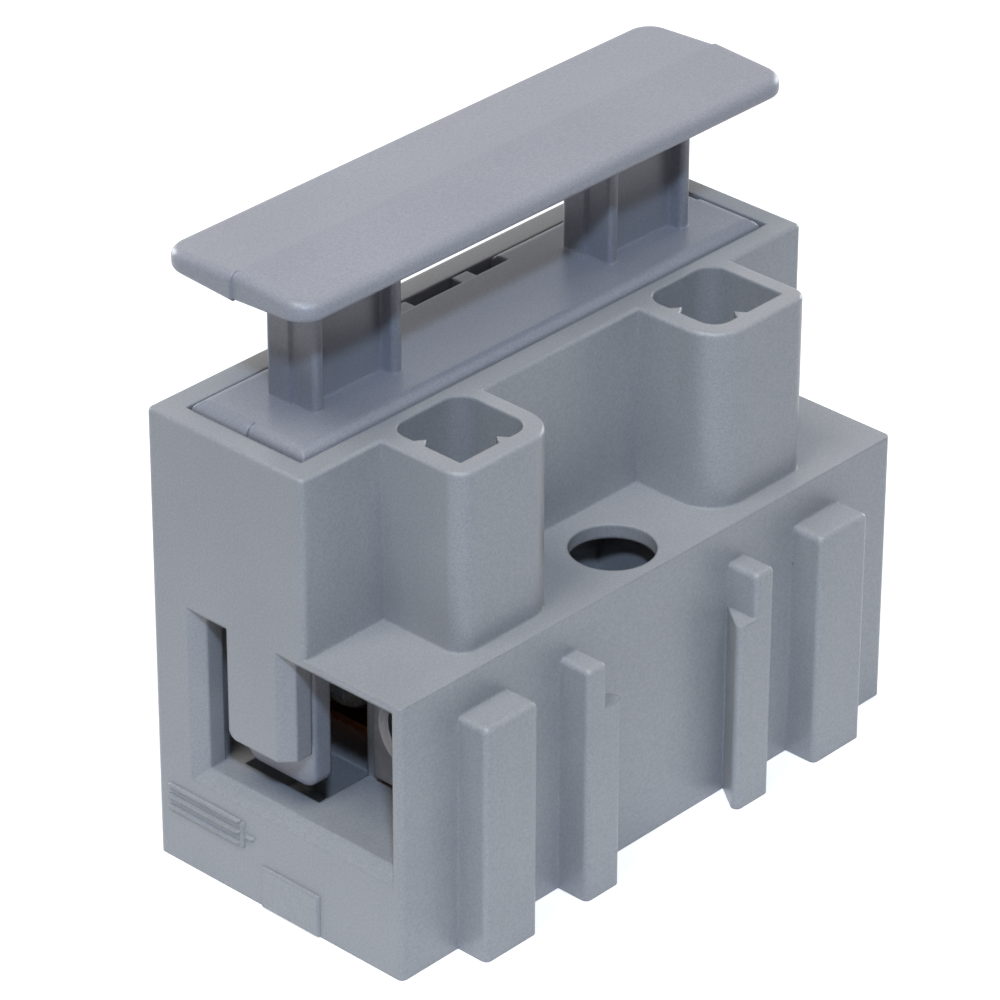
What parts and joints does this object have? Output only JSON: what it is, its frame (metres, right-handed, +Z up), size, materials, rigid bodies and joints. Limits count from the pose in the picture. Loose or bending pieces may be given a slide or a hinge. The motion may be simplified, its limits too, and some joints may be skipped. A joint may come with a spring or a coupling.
{
  "type": "fuse terminal block",
  "caption": "Moulded terminal block with a pull-out drawer for a small glass fuse, screw terminals at both ends and a central fixing hole.",
  "frame": {"origin": "centre of the bounding footprint, on the base", "axes": "+X along the block from one wire entry to the other, -Y towards the side with the keying ribs, +Z up, the way the drawer pulls out"},
  "size_m": [0.034, 0.0176, 0.0323],
  "materials": {
    "housing_plastic": "fine satin grain",
    "drawer_plastic": "satin",
    "fuse_glass": "clear",
    "fuse_wire_metal": "drawn",
    "plated_cap": "nickel plated",
    "spring_bronze": "rolled strip",
    "plated_brass": "nickel plated",
    "zinc_steel": "zinc plated",
    "guard_steel": "sheet"
  },
  "bodies": {
    "block": {"housing": "housing_plastic", "left_contact_strip": "spring_bronze", "right_contact_strip": "spring_bronze", "left_terminal_body": "plated_brass", "right_terminal_body": "plated_brass"},
    "drawer": {"fuse_drawer": "drawer_plastic", "fuse_glass_tube": "fuse_glass", "fuse_wire": "fuse_wire_metal", "left_fuse_cap": "plated_cap", "right_fuse_cap": "plated_cap"},
    "left_clamp": {"left_wire_guard": "guard_steel"},
    "left_screw": {"left_terminal_screw": "zinc_steel"},
    "right_clamp": {"right_wire_guard": "guard_steel"},
    "right_screw": {"right_terminal_screw": "zinc_steel"}
  },
  "joints": [
    {"name": "drawer_slide", "type": "slide", "parent": "block", "child": "drawer", "axis": [0, 0, 1], "range_m": [0, 0.018]},
    {"name": "left_clamp_slide", "type": "slide", "parent": "block", "child": "left_clamp", "axis": [0, 0, -1], "range_m": [0, 0.002]},
    {"name": "left_screw_turn", "type": "hinge", "parent": "left_clamp", "child": "left_screw", "pos_m": [-0.0086, -0.00295, 0.0145], "axis": [0, 0, -1], "range_deg": [0, 1440]},
    {"name": "right_clamp_slide", "type": "slide", "parent": "block", "child": "right_clamp", "axis": [0, 0, -1], "range_m": [0, 0.002]},
    {"name": "right_screw_turn", "type": "hinge", "parent": "right_clamp", "child": "right_screw", "pos_m": [0.0086, -0.00295, 0.0145], "axis": [0, 0, -1], "range_deg": [0, 1440]}
  ],
  "couplings": [
    {"joint": "left_screw_turn", "follows": "left_clamp_slide", "rad_per_m": 12566},
    {"joint": "right_screw_turn", "follows": "right_clamp_slide", "rad_per_m": 12566}
  ]
}
